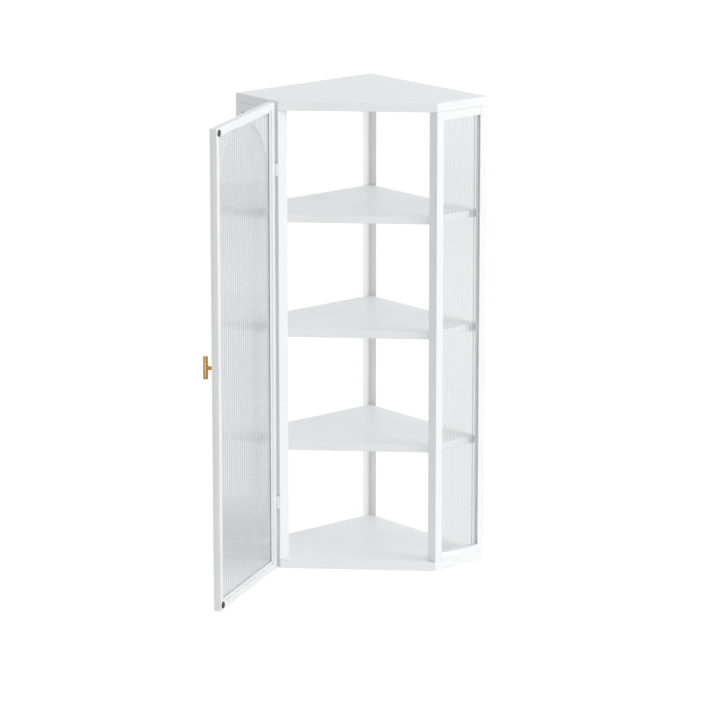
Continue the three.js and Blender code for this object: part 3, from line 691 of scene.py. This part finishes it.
def add_door_leaf(node, moving, low, high):
    """The door's leaf: its knuckle, a web beside it and a wing on the door's hinge edge."""
    start = KNUCKLE_RADIUS + LEAF_STANDOFF
    end = start + LEAF
    bend = LEAF - KNUCKLE_RADIUS
    web = plate([(0, low), (end, low), (end, high), (0, high)], -KNUCKLE_RADIUS, bend)
    reach = bend - DOOR_OUTER_Y - LEAF_MARGIN
    outline = [(bend - y, z) for y, z in leaf_plate(reach, HINGE_LENGTH)]
    wing = rings([[(x, y, z) for y, z in outline] for x in (start, end)])
    leaf = joined(barrel(low, high), web, wing)
    soften(piece(node + "_rolled", leaf, moving, "door", "paint", (node,)), LEAF_ROUNDING)


def add_glides():
    """Turned feet with an eased rim, below each corner of the base and below its channel."""
    ease = 0.4
    profile = [
        (GLIDE_RADIUS - ease, 0),
        (GLIDE_RADIUS, ease),
        (GLIDE_RADIUS, GLIDE_PROUD),
        (GLIDE_STEM_RADIUS, GLIDE_PROUD),
        (GLIDE_STEM_RADIUS, GLIDE_PROUD + GLIDE_STEM),
    ]
    names = ("back", "wall_left", "front_left", "front_right", "wall_right")
    places = dict(zip(names, inset(CASE_OUTLINE, TRAY_RETURN / 2)), centre=(0, 0))
    for name, (x, y) in places.items():
        node = "glide_" + name
        turned = lathe(profile, sides=36)
        piece(node + "_turned", turned, shift(x, y, 0), "case", "nylon", (node,))


def add_magnets():
    """Cup magnets: a plated steel rim round a slightly sunk face."""
    ease, rim, sunk = 0.25, 1.1, 0.25
    profile = [
        (MAGNET_RADIUS, 0),
        (MAGNET_RADIUS, MAGNET_THICKNESS - ease),
        (MAGNET_RADIUS - ease, MAGNET_THICKNESS),
        (MAGNET_RADIUS - rim, MAGNET_THICKNESS),
        (MAGNET_RADIUS - rim - sunk, MAGNET_THICKNESS - sunk),
    ]
    heights = {"top": DOOR_TOP - MAGNET_END_INSET, "bottom": DOOR_BOTTOM + MAGNET_END_INSET}
    for name, z in heights.items():
        node = "door_magnet_" + name
        place = DOOR @ shift(DOOR_END_X - MAGNET_SIDE_INSET, DOOR_INNER_Y + SEAT, z) @ LAID
        piece(node + "_cup", lathe(profile), place, "door", "magnet", (node,))


def add_knob():
    """A turned brass bar with eased ends on a waisted neck."""
    at_door = DOOR @ shift(DOOR_END_X - KNOB_EDGE_INSET, DOOR_OUTER_Y, KNOB_HEIGHT)
    half = KNOB_LENGTH / 2 - KNOB_EASE
    straight = KNOB_RADIUS - KNOB_EASE
    profile = arc(straight, -half, KNOB_EASE, -90, 0) + arc(straight, half, KNOB_EASE, 0, 90)
    place = at_door @ shift(0, KNOB_RADIUS - KNOB_PROJECTION, 0)
    piece("knob_bar_turned", lathe(profile, sides=64), place, "door", "brass", ("knob_bar",))
    length = KNOB_PROJECTION - KNOB_RADIUS
    hollow = NECK_RADIUS - NECK_WAIST
    shares = [k / NECK_STEPS for k in range(NECK_STEPS + 1)]
    radii = [NECK_RADIUS - hollow * math.sin(math.pi * share) for share in shares]
    neck = lathe([(r, SEAT + (length - SEAT) * share) for r, share in zip(radii, shares)])
    piece("knob_neck_turned", neck, at_door @ TURNED_OUT, "door", "brass", ("knob_neck",))


def dress_frame():
    """Gives every CAD node the finish of its slot and softens the steel."""
    for part in frame["record"]["subparts"]:
        obj = frame["nodes"][part["node"]]
        obj.data.materials.clear()
        obj.data.materials.append(FINISHES[part["material_slot"]])
        if part["material_slot"] == "paint":
            soften(obj, FRAME_ROUNDING, weld=True)


# Floor, light and camera


def set_level(tree, socket, level):
    """Gives a socket a level, which is a number or a node's output."""
    if isinstance(level, float):
        socket.default_value = level
    else:
        tree.links.new(level, socket)


def either(tree, flag, first, second):
    """One of two levels, by a flag of the ray."""
    made = add(tree, "ShaderNodeMix", {"Factor": flag}, data_type="FLOAT")
    set_level(tree, made.inputs["A"], first)
    set_level(tree, made.inputs["B"], second)
    return made.outputs["Result"]


def by_ray(tree, lit, mirrored, through, seen):
    """A level for light on surfaces, for reflections, for what glass shows and for the camera."""
    path = add(tree, "ShaderNodeLightPath")
    level = either(tree, path.outputs["Is Glossy Ray"], lit, mirrored)
    level = either(tree, path.outputs["Is Transmission Ray"], level, through)
    return either(tree, path.outputs["Is Camera Ray"], level, seen)


def fade(tree, place, centre, near, far, first, last):
    """A level that goes smoothly from first to last between two distances from a centre."""
    reach = add(tree, "ShaderNodeVectorMath", {"Vector": place}, operation="DISTANCE")
    reach.inputs[1].default_value = centre
    settings = dict(From_Min=near, From_Max=far, interpolation_type="SMOOTHSTEP")
    made = add(tree, "ShaderNodeMapRange", {"Value": reach.outputs["Value"]}, **settings)
    set_level(tree, made.inputs["To Min"], first)
    set_level(tree, made.inputs["To Max"], last)
    return made.outputs["Result"]


def weighed(tree, way, weights):
    """The sum of a direction's parts, each times its weight."""
    made = add(tree, "ShaderNodeVectorMath", {"Vector": way}, operation="DOT_PRODUCT")
    made.inputs[1].default_value = weights
    return made.outputs["Value"]


def floor():
    """A plain white floor that keeps the cupboard's soft shadow, with painted glow: a pool of
    light round it, a painted reflection level, and a painted shadow where glass shows it.
    """
    ends = (-FLOOR_HALF, FLOOR_HALF)
    corners = [(x, y, 0) for y in ends for x in ends]
    mesh = bpy.data.meshes.new("floor")
    mesh.from_pydata(corners, [], [(0, 1, 3, 2)])
    obj = bpy.data.objects.new("floor", mesh)
    bpy.context.scene.collection.objects.link(obj)
    made, tree, place = material("white_floor")
    # The floor as glass shows it: a painted shadow near the cupboard and painted dimness far
    # behind.
    painted_shade_behind = fade(tree, place, **SHADE, last=fade(tree, place, **DISTANT))
    # Lit surfaces get the floor's own bounce and its painted pool of glow. Straight views and
    # reflections get mostly its glow, which reflections see as a painted level.
    white = by_ray(tree, lit=FLOOR_WHITE, mirrored=0.0, through=0.0, seen=FLOOR_WHITE_SEEN)
    glows = dict(lit=fade(tree, place, **POOL), mirrored=fade(tree, place, **GLINT))
    strength = by_ray(tree, **glows, through=painted_shade_behind, seen=FLOOR_GLOW_SEEN)
    coat = add(tree, "ShaderNodeBsdfDiffuse", {"Color": white}).outputs["BSDF"]
    glow = add(tree, "ShaderNodeEmission", {"Strength": strength}, Color=linear("#FFFFFF"))
    both = add(tree, "ShaderNodeAddShader", {0: coat, 1: glow.outputs["Emission"]})
    add(tree, "ShaderNodeOutputMaterial", {"Surface": both.outputs["Shader"]})
    mesh.materials.append(made)


def world():
    """A white studio that looks even, and lights most from above, the front and behind."""
    made = bpy.data.worlds.new("studio")
    bpy.context.scene.world = made
    made.use_nodes = True
    tree = made.node_tree
    tree.nodes.clear()
    way = add(tree, "ShaderNodeTexCoord").outputs["Generated"]
    spread = add(tree, "ShaderNodeVectorMath", {"Vector": way}, operation="ABSOLUTE")
    parts = {
        0: weighed(tree, spread.outputs["Vector"], SKY),
        1: weighed(tree, way, SKY_TILT),
    }
    level = add(tree, "ShaderNodeMath", parts, operation="ADD").outputs["Value"]
    strength = by_ray(tree, level, SKY_MIRRORED, SKY_THROUGH, SKY_SEEN)
    # Its light leans slightly to blue, against the warmer lamp.
    seen = add(tree, "ShaderNodeLightPath").outputs["Is Camera Ray"]
    links = {"Strength": strength, "Color": blend(tree, seen, "#FCFDFF", "#FFFFFF")}
    sky = add(tree, "ShaderNodeBackground", links)
    add(tree, "ShaderNodeOutputWorld", {"Surface": sky.outputs["Background"]})


def lamp(name, place, aim, width, height, watts, colour="#FFFFFF"):
    """A rectangular lamp, in metres, that points at its aim."""
    light = bpy.data.lights.new(name, "AREA")
    light.color = linear(colour)[:3]
    light.shape = "RECTANGLE"
    light.size, light.size_y = width, height
    light.energy = watts
    obj = bpy.data.objects.new(name, light)
    obj.location = place
    obj.rotation_euler = (Vector(aim) - Vector(place)).to_track_quat("-Z", "Y").to_euler()
    bpy.context.scene.collection.objects.link(obj)
    return obj


def add_lamps():
    """A large key lamp from the right, and a low strip for the brass alone, as its bright line."""
    size = dict(width=3.0, height=3.0)
    lamp("key", (5.0, -2.2, 2.6), aim=(0, 0, 0.5), **size, watts=142, colour="#FFFEFB")
    size = dict(width=0.6, height=0.3)
    strip = lamp("strip", (-0.3, -1.7, 0.2), aim=(-0.28, -0.48, 0.5), **size, watts=1.3)
    strip.visible_camera = False
    brass = bpy.data.collections.new("lit_by_strip")
    for turned in ("knob_bar_turned", "knob_neck_turned"):
        brass.objects.link(bpy.data.objects[turned])
    strip.light_linking.receiver_collection = brass


def camera():
    """The photograph's camera, without its shift."""
    data = bpy.data.cameras.new("camera")
    data.sensor_width = SENSOR
    data.lens = FOCAL_PIXELS * SENSOR / PICTURE
    data.clip_end = CAMERA_REACH
    obj = bpy.data.objects.new("camera", data)
    obj.location = CAMERA_PLACE
    obj.rotation_euler = (math.pi / 2 - CAMERA_DIP, 0, CAMERA_TURN)
    bpy.context.scene.collection.objects.link(obj)
    bpy.context.scene.camera = obj


# The glass's cut edge, ground matt: it looks pale and slightly green from inside the sheet.
ground = dict(spacing=0.6, roughness=0.7, ior=GLASS_IOR)
GROUND_EDGE = matt("ground_glass_edge", "#DCE4E2", "#E8EEEC", **ground)
brushed = dict(roughness=0.27, spacing=0.5, depth=0.02, stretch=BRUSHED)
nickel = dict(roughness=0.35, spacing=0.6, depth=0.01)
zinc = dict(roughness=0.35, spacing=0.5, depth=0.01)
moulded = dict(spacing=0.8, roughness=0.55, ior=1.53)
FINISHES = {
    "paint": powder_coat(),
    "glass": reeded_glass(),
    "brass": metal("brushed_brass", "#C4964E", "#D3A864", **brushed),
    "magnet": metal("nickel_plated_magnet", "#3C3E41", "#4C4E51", **nickel),
    "zinc": metal("zinc_plated_steel", "#B9BBBD", "#CBCDCF", **zinc),
    "nylon": matt("moulded_white_nylon", "#DDDDD8", "#E8E8E4", **moulded),
}
dress_frame()
add_trays()
add_glass()
add_panel_core()
add_shelf_screws()
add_hinges()
add_glides()
add_magnets()
add_knob()
floor()
world()
add_lamps()
camera()
bpy.context.scene.view_settings.view_transform = "Standard"
